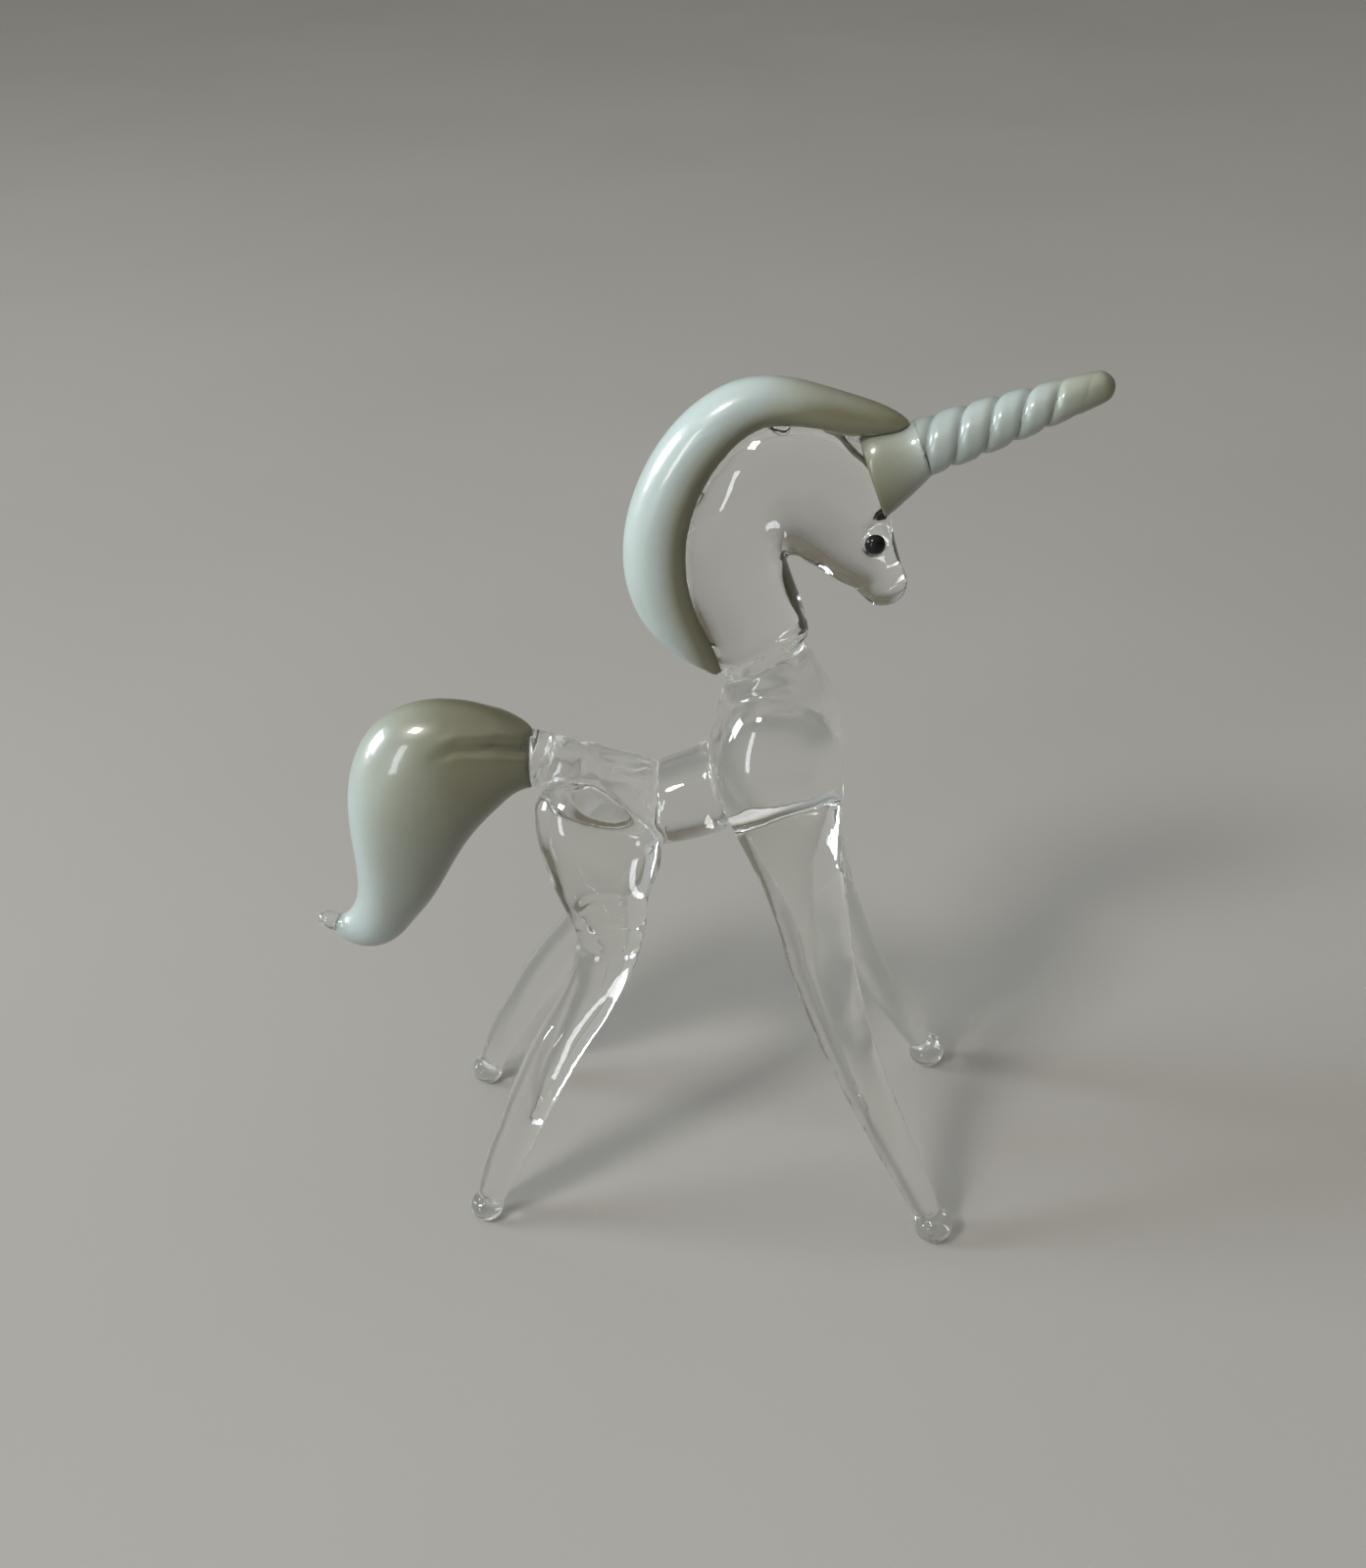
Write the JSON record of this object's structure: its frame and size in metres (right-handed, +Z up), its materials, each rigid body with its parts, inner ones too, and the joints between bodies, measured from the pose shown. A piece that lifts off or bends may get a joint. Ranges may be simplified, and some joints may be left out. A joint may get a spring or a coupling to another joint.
{
  "type": "glass unicorn figurine",
  "caption": "Free-standing ornament of flame-worked glass: a clear long-legged unicorn with an opal mane, a curved opal tail and a twisted opal horn, standing on ball feet with flat soles",
  "frame": {"origin": "on the floor, at the middle of the bounding box in plan", "axes": "+X forward along the horn, +Y to the animal's left, +Z up; the soles of the feet are at Z = 0"},
  "size_m": [0.0764, 0.0328, 0.091],
  "materials": {
    "clear_glass": "clear, fire-polished",
    "opal_glass": "pale grey-green opal, fire-polished",
    "black_glass": "black, glossy"
  },
  "bodies": {
    "root": {"barrel": "clear_glass", "haunch": "clear_glass", "chest": "clear_glass", "neck": "clear_glass", "head": "clear_glass", "muzzle": "clear_glass", "eye_bead_right": "clear_glass", "eye_bead_left": "clear_glass", "pupil_right": "black_glass", "pupil_left": "black_glass", "tail_root": "clear_glass", "tail": "opal_glass", "tail_tip": "clear_glass", "mane": "opal_glass", "horn_foot": "opal_glass", "horn": "opal_glass", "foreleg_right": "clear_glass", "foreleg_left": "clear_glass", "thigh_right": "clear_glass", "thigh_left": "clear_glass", "hind_shank_right": "clear_glass", "hind_shank_left": "clear_glass", "fore_hoof_right": "clear_glass", "fore_hoof_left": "clear_glass", "hind_hoof_right": "clear_glass", "hind_hoof_left": "clear_glass"}
  },
  "joints": []
}
